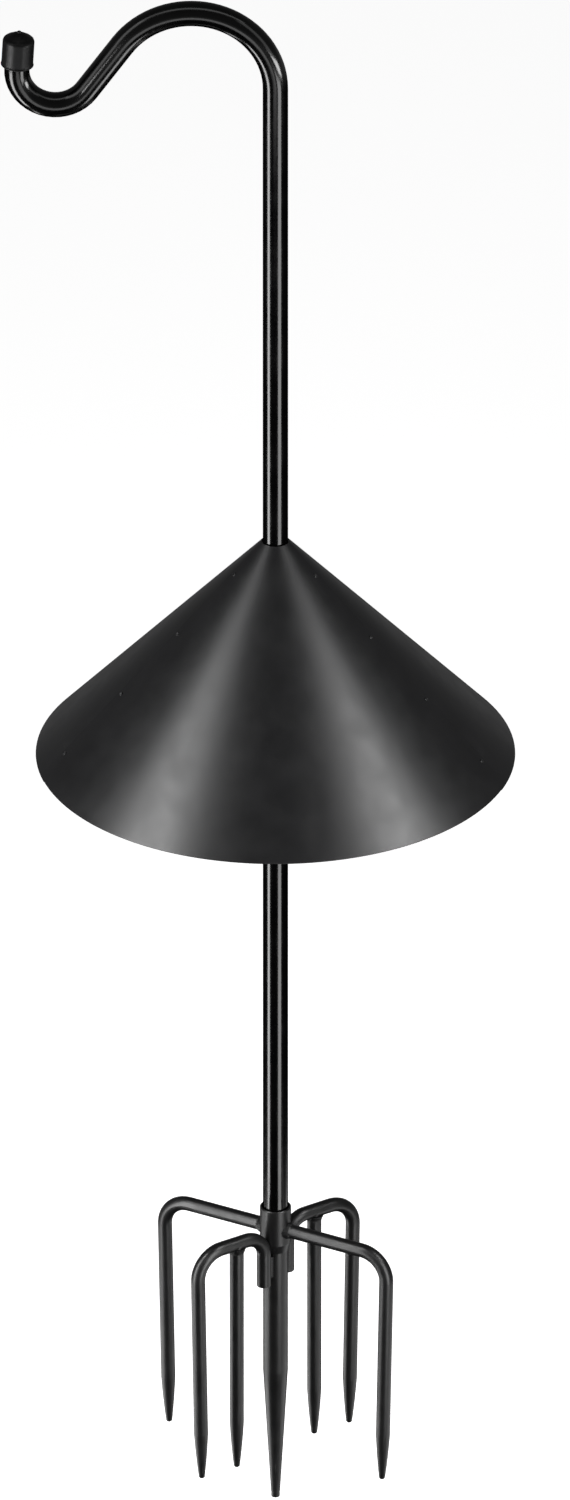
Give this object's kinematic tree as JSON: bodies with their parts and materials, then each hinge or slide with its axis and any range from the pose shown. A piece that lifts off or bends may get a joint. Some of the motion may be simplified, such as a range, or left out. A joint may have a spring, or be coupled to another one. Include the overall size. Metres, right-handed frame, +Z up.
{
  "type": "bird feeder pole",
  "caption": "Tubular garden pole with a crook for a bird feeder, a cone baffle clamped part way up against squirrels, and a pronged base pushed into soil.",
  "frame": {"origin": "on the pole's axis at soil level, where the underside of the prongs' level arms meets the ground", "axes": "+Z up along the pole; the crook reaches towards -X; the picture looks along +Y and down"},
  "size_m": [0.7106, 0.6644, 2.3368],
  "materials": {
    "gloss_black": "gloss black powder coat",
    "satin_black": "satin black powder coat",
    "powder_black": "semi-gloss black powder coat",
    "black_screws": "black screw heads",
    "black_rubber": "satin dipped rubber",
    "zinc_steel": "zinc plated steel"
  },
  "bodies": {
    "ground_base": {"socket_collar": "powder_black", "spike_tube": "powder_black", "spike_tip": "powder_black", "rear_left_prong": "powder_black", "front_right_prong": "powder_black", "front_left_arm": "powder_black", "rear_right_arm": "powder_black", "front_left_mid_prong": "powder_black", "rear_right_mid_prong": "powder_black", "collar_welds": "powder_black", "arm_welds": "powder_black", "prong_welds": "powder_black"},
    "lower_pole": {"lower_pole": "gloss_black"},
    "middle_pole": {"middle_pole": "gloss_black"},
    "hook_section": {"hook_pole": "gloss_black", "hook_end_cap": "black_rubber"},
    "baffle_clamp": {"clamp_front_half": "satin_black", "clamp_rear_half": "satin_black", "clamp_bolts": "zinc_steel", "clamp_washers": "zinc_steel", "clamp_wing_nuts": "zinc_steel"},
    "baffle": {"baffle_front_panel": "satin_black", "baffle_rear_panel": "satin_black", "left_seam_screws": "black_screws", "right_seam_screws": "black_screws", "left_seam_nuts": "zinc_steel", "right_seam_nuts": "zinc_steel"}
  },
  "joints": [
    {"name": "pole_swivel", "type": "hinge", "parent": "ground_base", "child": "lower_pole", "pos_m": [0, 0, -0.005], "axis": [0, 0, 1], "continuous": true},
    {"name": "middle_swivel", "type": "hinge", "parent": "lower_pole", "child": "middle_pole", "pos_m": [0, 0, 0.6], "axis": [0, 0, 1], "continuous": true},
    {"name": "hook_swivel", "type": "hinge", "parent": "middle_pole", "child": "hook_section", "pos_m": [0, 0, 1.057], "axis": [0, 0, 1], "continuous": true},
    {"name": "baffle_height", "type": "slide", "parent": "middle_pole", "child": "baffle_clamp", "axis": [0, 0, 1], "range_m": [-0.6, 0.65]},
    {"name": "baffle_spin", "type": "hinge", "parent": "baffle_clamp", "child": "baffle", "pos_m": [0, 0, 1.051], "axis": [0, 0, 1], "continuous": true}
  ]
}
